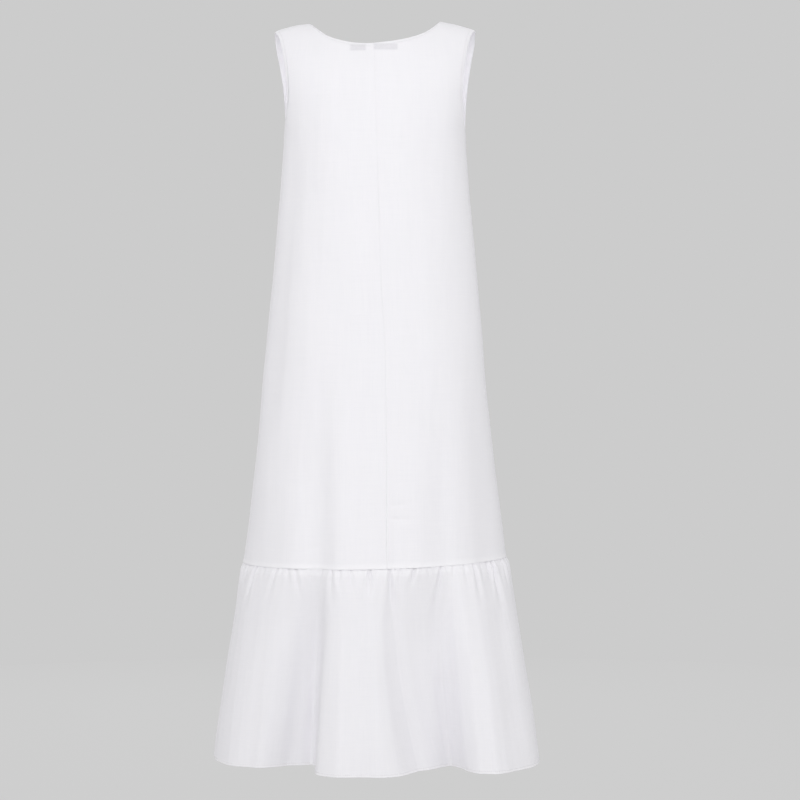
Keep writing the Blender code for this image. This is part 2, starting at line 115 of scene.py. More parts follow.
# Half widths, depths and squareness (2 is an ellipse) of the worn body. Above the
# underarm the half width is that of the whole form, of which the armhole cuts the end.
Section = namedtuple("Section", "drop back_half front_half back_depth front_depth square")
SECTIONS = (
    Section(0.000, 0.2000, 0.2090, 0.060, 0.056, 2.50),
    Section(0.030, 0.1930, 0.2072, 0.067, 0.064, 2.50),
    Section(0.063, 0.1845, 0.2015, 0.076, 0.075, 2.48),
    Section(0.098, 0.1770, 0.1929, 0.086, 0.088, 2.45),
    Section(0.130, 0.1700, 0.1814, 0.094, 0.101, 2.40),
    Section(0.160, 0.1635, 0.1690, 0.099, 0.112, 2.36),
    Section(0.180, 0.1600, 0.1624, 0.102, 0.119, 2.33),
    Section(0.198, 0.1580, 0.1580, 0.104, 0.124, 2.31),
    Section(0.270, 0.1625, 0.1625, 0.108, 0.137, 2.26),
    Section(0.340, 0.1680, 0.1680, 0.111, 0.142, 2.22),
    Section(0.440, 0.1775, 0.1775, 0.116, 0.145, 2.18),
    Section(0.540, 0.1870, 0.1870, 0.124, 0.149, 2.15),
    Section(0.660, 0.1980, 0.1980, 0.138, 0.156, 2.12),
    Section(0.800, 0.2125, 0.2125, 0.157, 0.167, 2.10),
    Section(0.940, 0.2295, 0.2295, 0.176, 0.180, 2.08),
)

# Where the armhole's edge stands across the body
Armhole = namedtuple("Armhole", "drop back_x front_x")
ARMHOLE = (
    Armhole(0.0145, 0.1755, 0.1759),
    Armhole(0.0195, 0.1703, 0.1758),
    Armhole(0.0300, 0.1655, 0.1755),
    Armhole(0.0630, 0.1578, 0.1703),
    Armhole(0.0980, 0.1535, 0.1653),
    Armhole(0.1300, 0.1520, 0.1623),
    Armhole(0.1600, 0.1535, 0.1600),
    Armhole(0.1800, 0.1558, 0.1590),
    Armhole(0.1980, 0.1580, 0.1580),
)

# The two necklines, from the picture's left neck point to its right one for the back
Neckline = namedtuple("Neckline", "x drop")
NECK_BACK = (
    Neckline(-0.1140, -0.0022),
    Neckline(-0.1040, 0.0095),
    Neckline(-0.0859, 0.0232),
    Neckline(-0.0655, 0.0318),
    Neckline(-0.0401, 0.0384),
    Neckline(-0.0149, 0.0424),
    Neckline(0.0104, 0.0447),
    Neckline(0.0356, 0.0425),
    Neckline(0.0561, 0.0378),
    Neckline(0.0794, 0.0289),
    Neckline(0.0977, 0.0150),
    Neckline(0.1140, -0.0006),
)
NECK_FRONT = (
    Neckline(-0.1140, -0.0022),
    Neckline(-0.1070, 0.0260),
    Neckline(-0.0940, 0.0520),
    Neckline(-0.0720, 0.0790),
    Neckline(-0.0420, 0.0975),
    Neckline(0.0000, 0.1050),
    Neckline(0.0420, 0.0975),
    Neckline(0.0720, 0.0790),
    Neckline(0.0940, 0.0520),
    Neckline(0.1070, 0.0260),
    Neckline(0.1140, -0.0006),
)

# The centre back seam drifts towards -X on its way down
CentreSeam = namedtuple("CentreSeam", "drop x")
CENTRE_BACK = (
    CentreSeam(0.045, 0.0010),
    CentreSeam(0.280, -0.0064),
    CentreSeam(0.463, -0.0120),
    CentreSeam(0.555, -0.0180),
    CentreSeam(0.655, -0.0202),
    CentreSeam(0.940, -0.0222),
)

# Soft folds of the body: a line from a high point to a low one, its half width, and how
# far the cloth stands in (or out, where it is negative) at the top and the bottom
Fold = namedtuple("Fold", "x_high drop_high x_low drop_low half_width depth_high depth_low")
FOLDS_BACK = (
    Fold(0.0930, 0.600, 0.0990, 0.960, 0.026, 0.0010, 0.0110),
    Fold(0.0580, 0.560, 0.0560, 0.960, 0.022, -0.0005, -0.0030),
    Fold(0.1400, 0.270, 0.1760, 0.640, 0.016, 0.0030, 0.0045),
    Fold(0.1620, 0.240, 0.1960, 0.600, 0.012, -0.0010, -0.0020),
    Fold(-0.1760, 0.600, -0.1960, 0.960, 0.020, 0.0015, 0.0060),
    Fold(-0.1000, 0.640, -0.1180, 0.960, 0.024, 0.0005, 0.0050),
    Fold(-0.0360, 0.760, -0.0340, 0.960, 0.015, 0.0000, 0.0035),
)
FOLDS_FRONT = (
    Fold(0.0620, 0.420, 0.0860, 0.960, 0.028, 0.0010, 0.0105),
    Fold(-0.0780, 0.360, -0.1020, 0.960, 0.026, 0.0010, 0.0090),
    Fold(-0.0060, 0.620, 0.0040, 0.960, 0.024, 0.0000, 0.0050),
    Fold(0.1380, 0.300, 0.1700, 0.760, 0.016, 0.0020, 0.0050),
    Fold(-0.1420, 0.280, -0.1780, 0.700, 0.016, 0.0020, 0.0040),
)

# The hem of the flounce in plan: its share of the way round each half, from one side
# seam to the other, where it stands, and how far it swings sideways half way down
Hem = namedtuple("Hem", "share x y sway")
HEM_BACK = (
    Hem(0.000, 0.2810, 0.0000, 0.000),
    Hem(0.055, 0.2760, 0.0400, 0.000),
    Hem(0.095, 0.2655, 0.0655, 0.000),
    Hem(0.135, 0.2500, 0.0920, 0.000),
    Hem(0.170, 0.2350, 0.1030, 0.000),
    Hem(0.205, 0.2140, 0.1120, 0.000),
    Hem(0.245, 0.1930, 0.1195, -0.002),
    Hem(0.285, 0.1640, 0.1090, -0.005),
    Hem(0.315, 0.1440, 0.0975, -0.006),
    Hem(0.338, 0.1240, 0.0940, -0.004),
    Hem(0.352, 0.1090, 0.0880, -0.001),
    Hem(0.362, 0.1000, 0.1000, 0.000),
    Hem(0.371, 0.0960, 0.1250, 0.000),
    Hem(0.381, 0.0985, 0.1520, 0.000),
    Hem(0.392, 0.0960, 0.1780, 0.000),
    Hem(0.408, 0.0750, 0.1990, 0.000),
    Hem(0.425, 0.0560, 0.2070, 0.000),
    Hem(0.463, 0.0220, 0.2060, 0.001),
    Hem(0.500, -0.0120, 0.2095, 0.004),
    Hem(0.522, -0.0400, 0.1990, 0.010),
    Hem(0.543, -0.0660, 0.1650, 0.015),
    Hem(0.555, -0.0760, 0.1490, 0.015),
    Hem(0.578, -0.0920, 0.1380, 0.013),
    Hem(0.605, -0.1070, 0.1210, 0.012),
    Hem(0.645, -0.1180, 0.1100, 0.008),
    Hem(0.680, -0.1310, 0.1010, 0.008),
    Hem(0.700, -0.1460, 0.1210, 0.006),
    Hem(0.716, -0.1580, 0.1520, 0.004),
    Hem(0.735, -0.1780, 0.1735, 0.000),
    Hem(0.765, -0.2000, 0.1760, 0.000),
    Hem(0.800, -0.2185, 0.1680, 0.000),
    Hem(0.840, -0.2385, 0.1470, 0.000),
    Hem(0.870, -0.2540, 0.1290, 0.000),
    Hem(0.900, -0.2685, 0.1130, 0.000),
    Hem(0.935, -0.2800, 0.0820, 0.000),
    Hem(0.970, -0.2845, 0.0420, 0.000),
    Hem(1.000, -0.2840, 0.0000, 0.000),
)
HEM_FRONT = (
    Hem(0.000, -0.2840, 0.0000, 0.000),
    Hem(0.045, -0.2820, -0.0400, 0.000),
    Hem(0.090, -0.2740, -0.0780, 0.000),
    Hem(0.140, -0.2480, -0.1130, 0.000),
    Hem(0.195, -0.2190, -0.1260, 0.000),
    Hem(0.240, -0.1980, -0.1200, 0.000),
    Hem(0.285, -0.1760, -0.1400, 0.006),
    Hem(0.320, -0.1560, -0.1730, 0.008),
    Hem(0.360, -0.1270, -0.1930, 0.006),
    Hem(0.400, -0.0990, -0.1880, 0.000),
    Hem(0.430, -0.0820, -0.1640, -0.006),
    Hem(0.465, -0.0590, -0.1590, -0.010),
    Hem(0.500, -0.0370, -0.1870, -0.006),
    Hem(0.540, -0.0060, -0.2100, 0.000),
    Hem(0.580, 0.0280, -0.2120, 0.000),
    Hem(0.615, 0.0560, -0.1950, 0.008),
    Hem(0.640, 0.0720, -0.1660, 0.012),
    Hem(0.670, 0.0930, -0.1500, 0.012),
    Hem(0.705, 0.1180, -0.1620, 0.008),
    Hem(0.740, 0.1430, -0.1850, 0.000),
    Hem(0.780, 0.1720, -0.1800, 0.000),
    Hem(0.815, 0.1960, -0.1530, 0.000),
    Hem(0.850, 0.2160, -0.1240, 0.000),
    Hem(0.885, 0.2380, -0.1120, 0.000),
    Hem(0.920, 0.2590, -0.0950, 0.000),
    Hem(0.960, 0.2750, -0.0520, 0.000),
    Hem(1.000, 0.2810, 0.0000, 0.000),
)

# How soon the flounce swings out on its way down, where 1 is evenly
FLARE = 1.14

# The gathers under the seam: share of the way round each half, how far each runs down,
# how deep it is, and how far it leans sideways on its way
Gather = namedtuple("Gather", "share run depth lean")
GATHERS_BACK = (
    Gather(0.022, 0.035, 0.0026, 0.10),
    Gather(0.046, 0.020, 0.0016, -0.10),
    Gather(0.074, 0.050, 0.0030, 0.14),
    Gather(0.104, 0.030, 0.0022, 0.16),
    Gather(0.150, 0.062, 0.0052, 0.30),
    Gather(0.186, 0.022, 0.0014, 0.10),
    Gather(0.230, 0.052, 0.0030, 0.22),
    Gather(0.268, 0.022, 0.0024, 0.02),
    Gather(0.288, 0.046, 0.0026, -0.20),
    Gather(0.330, 0.026, 0.0012, 0.00),
    Gather(0.361, 0.022, 0.0016, 0.12),
    Gather(0.392, 0.060, 0.0030, -0.10),
    Gather(0.415, 0.024, 0.0026, 0.00),
    Gather(0.444, 0.045, 0.0024, -0.05),
    Gather(0.493, 0.044, 0.0046, 0.04),
    Gather(0.506, 0.020, 0.0016, 0.00),
    Gather(0.545, 0.095, 0.0046, -0.04),
    Gather(0.558, 0.018, 0.0026, 0.06),
    Gather(0.571, 0.022, 0.0018, 0.00),
    Gather(0.609, 0.030, 0.0046, 0.22),
    Gather(0.647, 0.020, 0.0018, 0.04),
    Gather(0.685, 0.078, 0.0036, 0.18),
    Gather(0.718, 0.022, 0.0020, 0.00),
    Gather(0.749, 0.040, 0.0018, -0.06),
    Gather(0.781, 0.064, 0.0036, -0.08),
    Gather(0.808, 0.024, 0.0016, 0.00),
    Gather(0.837, 0.026, 0.0052, -0.06),
    Gather(0.860, 0.074, 0.0058, -0.10),
    Gather(0.911, 0.042, 0.0040, -0.12),
    Gather(0.942, 0.030, 0.0022, -0.05),
    Gather(0.975, 0.045, 0.0026, -0.10),
)
GATHERS_FRONT = (
    Gather(0.020, 0.040, 0.0026, 0.10),
    Gather(0.052, 0.030, 0.0020, -0.06),
    Gather(0.088, 0.060, 0.0034, 0.14),
    Gather(0.120, 0.035, 0.0022, 0.02),
    Gather(0.158, 0.050, 0.0032, -0.12),
    Gather(0.190, 0.025, 0.0018, 0.08),
    Gather(0.226, 0.070, 0.0036, 0.16),
    Gather(0.262, 0.040, 0.0024, -0.04),
    Gather(0.291, 0.030, 0.0020, 0.05),
    Gather(0.330, 0.055, 0.0030, 0.12),
    Gather(0.362, 0.030, 0.0020, -0.10),
    Gather(0.400, 0.045, 0.0026, 0.06),
    Gather(0.436, 0.080, 0.0040, 0.15),
    Gather(0.470, 0.028, 0.0020, -0.05),
    Gather(0.498, 0.040, 0.0026, 0.00),
    Gather(0.536, 0.030, 0.0018, 0.07),
    Gather(0.566, 0.050, 0.0030, -0.14),
    Gather(0.604, 0.032, 0.0022, 0.04),
    Gather(0.641, 0.080, 0.0040, 0.12),
    Gather(0.672, 0.036, 0.0024, -0.09),
    Gather(0.706, 0.026, 0.0018, 0.03),
    Gather(0.742, 0.055, 0.0032, -0.15),
    Gather(0.778, 0.034, 0.0022, 0.06),
    Gather(0.806, 0.045, 0.0028, 0.10),
    Gather(0.846, 0.060, 0.0036, -0.12),
    Gather(0.880, 0.030, 0.0020, 0.05),
    Gather(0.916, 0.050, 0.0030, -0.08),
    Gather(0.950, 0.034, 0.0022, 0.11),
    Gather(0.980, 0.042, 0.0026, -0.05),
)

# How far the flounce puffs out under its seam and tucks in at it, how wide a gather is there
# and how fast it spreads, and the small gathers between the others
PUFF = 0.0030
GATHER_TUCK = -0.0004
GATHER_WIDTH = 0.0026
GATHER_SPREAD = 0.050
SMALL_GATHER = 0.00045
SMALL_GATHER_PITCH = 0.0068

# The labels inside the back neck: from x_low to x_high, and how far they hang
Label = namedtuple("Label", "name x_low x_high hang")
LABELS = (
    Label("label_size", 0.0147, 0.0422, 0.0155),
    Label("label_brand", -0.0400, 0.0012, 0.0155),
)

# The labels' wall, how far below the neck's edge they start, and how they stand off and curl
LABEL_WALL = 0.0006
LABEL_START = 0.0008
LABEL_STAND = 0.0024
LABEL_CURL = 0.0010

# Slow ripples of the cloth: their lengths across and down, their phase and their height
Wave = namedtuple("Wave", "across down phase height")
BODY_WAVES = (
    Wave(0.041, 1.300, 0.4, 0.00013),
    Wave(0.067, -0.900, 2.1, 0.00025),
    Wave(0.029, 0.700, 4.0, 0.00008),
    Wave(0.110, 0.530, 1.2, 0.00045),
    Wave(-0.018, 0.310, 5.1, 0.00007),
    Wave(0.300, 0.160, 3.0, 0.00030),
)
FLOUNCE_WAVES = (
    Wave(0.047, 1.100, 0.9, 0.00016),
    Wave(0.031, -0.800, 2.6, 0.00008),
    Wave(0.083, 0.600, 4.4, 0.00040),
    Wave(-0.019, 0.350, 1.7, 0.00004),
    Wave(0.210, 0.140, 0.3, 0.00035),
)

# Short creases pressed in beside the seams: middle, half sizes, lean and depth
Crease = namedtuple("Crease", "x drop half_length half_width lean depth")
CREASES_BACK = (
    Crease(-0.0400, 0.835, 0.012, 0.0032, 0.05, 0.00120),
    Crease(-0.0440, 0.858, 0.020, 0.0034, -0.08, 0.00130),
    Crease(-0.0470, 0.700, 0.013, 0.0018, 0.22, 0.00028),
    Crease(0.0040, 0.420, 0.010, 0.0020, -0.30, 0.00025),
    Crease(0.1180, 0.310, 0.024, 0.0045, 0.80, 0.00060),
    Crease(-0.1240, 0.270, 0.028, 0.0050, -0.70, 0.00060),
    Crease(0.1020, 0.905, 0.018, 0.0030, 0.35, 0.00050),
    Crease(-0.1500, 0.915, 0.016, 0.0030, -0.45, 0.00050),
)
CREASES_FRONT = (
    Crease(0.1150, 0.290, 0.030, 0.0055, 0.75, 0.00080),
    Crease(-0.1180, 0.300, 0.026, 0.0050, -0.65, 0.00070),
    Crease(0.0500, 0.560, 0.016, 0.0030, 0.20, 0.00035),
    Crease(-0.0700, 0.880, 0.020, 0.0030, -0.25, 0.00045),
)

# How finely each panel's sheet is made, and where its columns are closer: beside the centre
# and side seams, and inside the steep front neckline's upper ends
Fineness = namedtuple("Fineness", "row_step columns upper_rows")
FINENESS = {"back": Fineness(0.0031, 92, 64), "front": Fineness(0.0046, 68, 50)}
BESIDE_CENTRE = np.array([0.0026, 0.0055, 0.0090, 0.0130])
BESIDE_SIDE = np.array([0.022, 0.014, 0.009, 0.0045])
INSIDE_NECK = {"back": np.array([]), "front": np.array([0.007, 0.014, 0.021, 0.028, 0.046, 0.068])}

# Thread: one stitch, and the pitch of the rows at the edges and at the hem
STITCH_RADIUS = 0.00022
STITCH_LENGTH = 0.0018
STITCH_END = 0.0004
EDGE_PITCH = 0.0030
HEM_PITCH = 0.0034

# The weave's pitch, and the linen's colours: plain, shaded, doubled and a label's painted shadow
THREAD_PITCH = 0.00085
LINEN = (0.905, 0.895, 0.925)
LINEN_SHADE = (0.865, 0.858, 0.892)
LINEN_DOUBLED = (0.945, 0.937, 0.962)
LABEL_PAINTED_SHADOW = (0.775, 0.765, 0.800)

# How softly the doubled cloth's colour and a label's painted shadow begin and end
ABOVE_SEAM_SHARE = 0.55
ABOVE_SEAM_FADE = (0.0020, 0.0120)
AT_HEM_SHARE = 0.9
AT_HEM_FADE = (-0.0012, 0.0008)
SHADE_INSET = 0.0030
SHADE_SIDES = (-0.0030, 0.0022)
SHADE_FOOT = (-0.0018, 0.0026)
SHADE_TOP = (-0.0022, 0.0010)

# Colours of the ribbon and the thread, and the ribbon's rib pitches down and across
RIBBON_DARK = (0.40, 0.40, 0.42)
RIBBON_LIGHT = (0.50, 0.50, 0.52)
RIB_DOWN = 0.00055
RIB_ACROSS = 0.00040
THREAD_LIGHT = (0.90, 0.89, 0.91)
THREAD_DARK = (0.80, 0.79, 0.82)

# The studio and the camera
BACKDROP = 0.604
FLOOR_DROP = 1.62
FLOOR_RADIUS = 4.0
FLOOR_GLOW = 0.94
SoftBox = namedtuple("SoftBox", "name place size power")
SOFT_BOXES = (
    SoftBox("high_softbox", (0.00, 3.1, 1.1), 1.6, 21.5),
    SoftBox("low_softbox", (0.00, 3.9, -0.9), 1.0, 12.7),
    SoftBox("left_softbox", (2.4, 2.0, 0.4), 2.0, 14.0),
    SoftBox("right_softbox", (-2.4, 2.0, 0.4), 2.0, 14.5),
    SoftBox("front_softbox", (0.50, -3.3, 0.9), 2.2, 50.0),
)
LIT_POINT = (0, 0, -0.60)
INSIDE_POWER = 0.075
INSIDE_SIZE = 0.03
INSIDE_PLACES = (("left_glow", (0.095, 0.010, -0.110)), ("right_glow", (-0.095, 0.010, -0.110)))
CAMERA_AWAY = 3.5
CAMERA_LEVEL = 0.658
CAMERA_ASIDE = -0.04375
LENS = 90.0
SENSOR = 36.0


def along(rows, key, value, at):
    """A smooth line through one column of a table, read at any values of another."""
    keys = np.array([getattr(row, key) for row in rows])
    values = np.array([getattr(row, value) for row in rows])
    steps = np.diff(keys)
    rises = np.diff(values) / steps
    slopes = np.empty(len(keys))
    slopes[0], slopes[-1] = rises[0], rises[-1]
    before, after = rises[:-1], rises[1:]
    weight = (steps[1:] + 2 * steps[:-1], 2 * steps[1:] + steps[:-1])
    same_way = before * after > 0
    safe_before = np.where(same_way, before, 1)
    safe_after = np.where(same_way, after, 1)
    mean = (weight[0] + weight[1]) / (weight[1] / safe_before + weight[0] / safe_after)
    slopes[1:-1] = np.where(same_way, mean, 0)
    at = np.clip(at, keys[0], keys[-1])
    index = np.clip(np.searchsorted(keys, at) - 1, 0, len(steps) - 1)
    step = steps[index]
    t = (at - keys[index]) / step
    held = values[index] * (1 + 2 * t) * (1 - t) ** 2 + values[index + 1] * t * t * (3 - 2 * t)
    turned = slopes[index] * t * (1 - t) ** 2 + slopes[index + 1] * t * t * (t - 1)
    return held + step * turned


def smooth(t):
    """A step from 0 to 1 with no corner."""
    t = np.clip(t, 0, 1)
    return t * t * (3 - 2 * t)


def ridge(away, height, half_width):
    """A soft ridge along a line, or a trough where its height is negative."""
    return height * np.exp(-((away / half_width) ** 2))


def shoulder_drop(x):
    """How far the shoulder's line lies below the shoulder level, a little unlike on its two sides."""
    left = along(SHOULDER, "x", "left", np.abs(x))
    right = along(SHOULDER, "x", "right", np.abs(x))
    return np.where(x > 0, left, right)


def body_depth(x, drop, face):
    """How far the body stands from the plane of the shoulders, on its back or its front."""
    half = along(SECTIONS, "drop", face + "_half", drop)
    full = along(SECTIONS, "drop", face + "_depth", drop)
    square = along(SECTIONS, "drop", "square", drop)
    share = np.clip(np.abs(x) / half, 0, 1)
    rounded = (1 - share**square) ** (1 / square)
    cap = CAP_BACK if face == "back" else CAP_FRONT
    below = np.clip((drop - shoulder_drop(x)) / cap, 0, 1)
    return full * rounded * np.sqrt(1 - (1 - below) ** 2)


def fold_offset(x, drop, face):
    """How far the soft folds move the cloth outwards."""
    offset = np.zeros_like(x)
    for fold in FOLDS_BACK if face == "back" else FOLDS_FRONT:
        way = (drop - fold.drop_high) / (fold.drop_low - fold.drop_high)
        middle = fold.x_high + (fold.x_low - fold.x_high) * way
        depth = fold.depth_high + (fold.depth_low - fold.depth_high) * np.clip(way, 0, 1)
        ends = smooth((way + 0.25) / 0.35) * smooth((1.30 - way) / 0.30)
        offset -= ridge(x - middle, depth * ends, fold.half_width)
    return offset


def body_point(x, drop, face):
    """The cloth's outer side at x and drop, as an array of points."""
    sign = 1 if face == "back" else -1
    half = along(SECTIONS, "drop", face + "_half", drop)
    full = along(SECTIONS, "drop", face + "_depth", drop)
    square = along(SECTIONS, "drop", "square", drop)
    depth = body_depth(x, drop, face)
    out_x = np.sign(x) * np.clip(np.abs(x) / half, 0, 1) ** (square - 1) / half
    out_y = np.clip(depth / full, 0, 1) ** (square - 1) / full
    length = np.hypot(out_x, out_y)
    offset = fold_offset(x, drop, face)
    lean = SHOULDER_LEAN * x * smooth((UNDERARM_DROP - drop) / UNDERARM_DROP)
    return np.stack(
        [
            x + offset * out_x / length,
            sign * (depth + offset * out_y / length),
            -(drop + lean),
        ],
        axis=-1,
    )


def centre_x(drop, face):
    """Where the middle of a panel runs: straight down the front, and with the seam behind."""
    if face == "front":
        return np.zeros_like(drop)
    return along(CENTRE_BACK, "drop", "x", drop)


def edge_drop(x, face):
    """The upper edge of a panel: its neckline, then its shoulder seam."""
    neck = along(NECK_BACK if face == "back" else NECK_FRONT, "x", "drop", x)
    return np.where(np.abs(x) < NECK_POINT, neck, shoulder_drop(x))


def panel_grid(face, side, across, lower_drops, upper_rises):
    """x and drop over a half panel. Rows rise from the flounce seam to the upper edge."""
    across = np.asarray(across)[None, :]
    drop = np.asarray(lower_drops)[:, None]
    middle = centre_x(drop, face)
    half = along(SECTIONS, "drop", face + "_half", drop)
    lower_x = middle + (side * half - middle) * across
    lower_drop = drop + 0 * across
    rise = np.asarray(upper_rises)[:, None]
    foot_x = lower_x[-1:]
    top_middle = centre_x(np.array([[CENTRE_NECK_DROP]]), face)
    top_x = top_middle + (side * SHOULDER_TIP - top_middle) * across
    top_drop = edge_drop(top_x, face)
    upper_drop = UNDERARM_DROP + (top_drop - UNDERARM_DROP) * rise
    upper_x = foot_x + (top_x - foot_x) * rise
    wanted = side * along(ARMHOLE, "drop", face + "_x", upper_drop[:, -1:])
    upper_x = upper_x + (wanted - upper_x[:, -1:]) * across**4
    return np.vstack([lower_x, upper_x]), np.vstack([lower_drop, upper_drop])


def normals_of(points, outwards):
    """Unit normals of a grid of points. outwards is +1 or -1, for the way the grid runs."""
    down = np.gradient(points, axis=0)
    sideways = np.gradient(points, axis=1)
    normals = np.cross(down, sideways) * outwards
    length = np.linalg.norm(normals, axis=-1, keepdims=True)
    return normals / np.maximum(length, 1e-12)


def half_shares(count, face):
    """Columns of a half panel, even round the form and closer where the tables above say."""
    angle = np.linspace(0, np.pi / 2, count + 1)
    neck = np.arcsin(NECK_SHARE)
    angle[np.argmin(np.abs(angle - neck))] = neck
    closer = [BESIDE_CENTRE, np.pi / 2 - BESIDE_SIDE, neck - INSIDE_NECK[face]]
    return np.sin(np.unique(np.concatenate([angle, *closer])))


def body_drops(step):
    """Rows of a panel from the flounce seam up to the underarm, closest beside the seam."""
    beside_seam = SEAM_DROP - np.array([0.0, 0.0006, 0.0013, 0.0021, 0.0032, 0.0045])
    even_from = SEAM_DROP - 0.006
    count = int(round((even_from - UNDERARM_DROP) / step))
    rows = np.linspace(even_from, UNDERARM_DROP, count + 1)
    return np.concatenate([beside_seam, rows])


def upper_rises(count):
    """Rows of a panel from the underarm to its upper edge, closest beside the edge."""
    return 1 - (1 - np.arange(1, count + 1) / count) ** 1.5


def arc_from(points, axis, end):
    """The way along the cloth from the first (end 0) or last (end -1) row or column."""
    steps = np.linalg.norm(np.diff(points, axis=axis), axis=-1)
    way = np.cumsum(steps, axis=axis)
    shape = [1, 1]
    shape[1 - axis] = steps.shape[1 - axis]
    way = np.concatenate([np.zeros(shape), way], axis=axis)
    if end == 0:
        return way
    return np.take(way, [-1], axis=axis) - way


def distance_to(points, line):
    """How far each point of a grid is from a line of points."""
    flat = points.reshape(-1, 3)
    nearest = np.full(len(flat), np.inf)
    for start, stop in zip(line[:-1], line[1:]):
        along_line = stop - start
        share = np.clip((flat - start) @ along_line / max(along_line @ along_line, 1e-12), 0, 1)
        nearest = np.minimum(nearest, np.linalg.norm(flat - start - share[:, None] * along_line, axis=1))
    return nearest.reshape(points.shape[:2])


def waves(across, down, rows):
    """Small uneven waves in the cloth: a sum of slow ripples, each leaning its own way."""
    height = np.zeros(np.broadcast(across, down).shape)
    for row in rows:
        phase = 2 * np.pi * (across / row.across + down / row.down) + row.phase
        height = height + row.height * np.sin(phase)
    return height


def crease_offset(x, drop, face):
    """How far the short creases move the cloth outwards."""
    offset = np.zeros_like(x)
    for crease in CREASES_BACK if face == "back" else CREASES_FRONT:
        along_it = (x - crease.x) + (drop - crease.drop) * crease.lean
        across_it = (drop - crease.drop) - (x - crease.x) * crease.lean
        reach = (along_it / crease.half_length) ** 2 + (across_it / crease.half_width) ** 2
        offset -= crease.depth * np.exp(-reach)
    return offset


def seam_relief(away):
    """Beside a pressed-open seam: a rolled-in edge, and a low band over its allowances."""
    band = SEAM_BAND * (1 - smooth((away - SEAM_ALLOWANCE + 0.0020) / 0.0040))
    return ridge(away, SEAM_ROLL, 0.0009) + band


def hem_relief(away, depth):
    """A turned edge: its rounded rim, the band over the fold, and the sunken stitch line."""
    band = HEM_BAND * (1 - smooth((away - depth + 0.0004) / 0.0026))
    stitched = ridge(away - depth + STITCH_INSET, HEM_SUNKEN, 0.0010)
    return ridge(away, HEM_RIM, 0.0006) + band + stitched


def tilted(points):
    """The seam hangs a little lower on the left than on the right, and the cloth near it too."""
    away = np.abs(points[..., 2] + SEAM_DROP) / TILT_REACH
    rise = SEAM_LIFT * (points[..., 0] / SEAM_END) ** 2 - SEAM_TILT * points[..., 0]
    points = points.copy()
    points[..., 2] += rise * smooth(1 - away)
    return points


def cloth_object(name, outer, inner, flat_u, flat_v, material):
    """One thin closed sheet between two grids, with its flat cut in metres as its UV map."""
    rows, columns = outer.shape[:2]
    count = rows * columns
    index = np.arange(count).reshape(rows, columns)
    a, b = index[:-1, :-1], index[:-1, 1:]
    c, d = index[1:, 1:], index[1:, :-1]
    outside = np.stack([a, b, c, d], axis=-1).reshape(-1, 4)
    inside = outside[:, ::-1] + count
    ring = np.concatenate([index[0, :-1], index[:-1, -1], index[-1, :0:-1], index[:0:-1, 0]])
    following = np.roll(ring, -1)
    rim = np.stack([following, ring, ring + count, following + count], axis=-1)
    faces = np.concatenate([outside, inside, rim])
    points = tilted(np.concatenate([outer.reshape(-1, 3), inner.reshape(-1, 3)]))
    mesh = bpy.data.meshes.new(name)
    mesh.vertices.add(len(points))
    mesh.vertices.foreach_set("co", points.ravel())
    mesh.loops.add(faces.size)
    mesh.loops.foreach_set("vertex_index", faces.ravel())
    mesh.polygons.add(len(faces))
    mesh.polygons.foreach_set("loop_start", np.arange(0, faces.size, 4))
    mesh.update(calc_edges=True)
    mesh.validate()
    mesh.polygons.foreach_set("use_smooth", np.ones(len(faces), bool))
    flat = np.stack([flat_u, flat_v], -1).reshape(-1, 2)
    flat = np.concatenate([flat, flat])[faces.ravel()]
    mesh.uv_layers.new(name="cut").data.foreach_set("uv", flat.ravel())
    mesh.materials.append(material)
    made = bpy.data.objects.new(name, mesh)
    bpy.context.collection.objects.link(made)
    return made


def sewn(piece, node):
    """Puts a piece of cloth in the place of its solid."""
    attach(piece, "root")
    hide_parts(node)


def edge_lines(points, across, below_arm):
    """The neckline, the shoulder seam and the armhole of a half panel, as lines of points."""
    neck_columns = across <= NECK_SHARE + 1e-6
    corner = int(neck_columns.sum()) - 1
    return points[-1, : corner + 1], points[-1, corner:], points[below_arm - 1 :, -1]


def upper_distance(points, upper, line):
    """How far the points of the upper rows are from a line, and a metre for the rows below."""
    away = np.full(points.shape[:2], 1.0)
    away[upper] = distance_to(points[upper], line)
    return away


Away = namedtuple("Away", "neck shoulder armhole side centre flounce")


def panel_distances(plain, drop, across, below_arm):
    """How far each point of a half panel is from each of its edges."""
    neck, shoulder, armhole = edge_lines(plain, across, below_arm)
    upper = drop[:, 0] < 0.30
    below = np.arange(len(drop))[:, None] < below_arm
    return Away(
        neck=upper_distance(plain, upper, neck),
        shoulder=upper_distance(plain, upper, shoulder),
        armhole=upper_distance(plain, upper, armhole),
        side=np.where(below, arc_from(plain, 1, -1), 1.0),
        centre=arc_from(plain, 1, 0),
        flounce=arc_from(plain, 0, 0),
    )


def panel_relief(x, drop, face, away):
    """How far ripples, creases, seams and turned edges move a half panel's cloth outwards."""
    offset = waves(x, drop, BODY_WAVES) * smooth((drop - 0.02) / 0.10)
    offset += crease_offset(x, drop, face)
    offset += seam_relief(away.side) + seam_relief(away.shoulder)
    offset += hem_relief(away.neck, NARROW_HEM) + hem_relief(away.armhole, NARROW_HEM)
    if face == "back":
        offset += seam_relief(away.centre) * (0.35 + 0.65 * smooth((drop - 0.50) / 0.3))
        pucker = PUCKER * np.sin(2 * np.pi * drop / PUCKER_LENGTH + 3 * np.sin(drop * 40))
        offset += ridge(away.centre, pucker, 0.006)
    strip = 1 - smooth((away.flounce - 0.0015) / PRESSED_STRIP)
    along_seam = x * (0.75 + 0.25 * np.sin(x * 31))
    wave = STRIP_WAVE * np.sin(2 * np.pi * along_seam / STRIP_WAVE_LENGTH)
    return offset + strip * (STRIP_STAND + wave) + ridge(away.flounce, STRIP_TUCK, 0.0008)


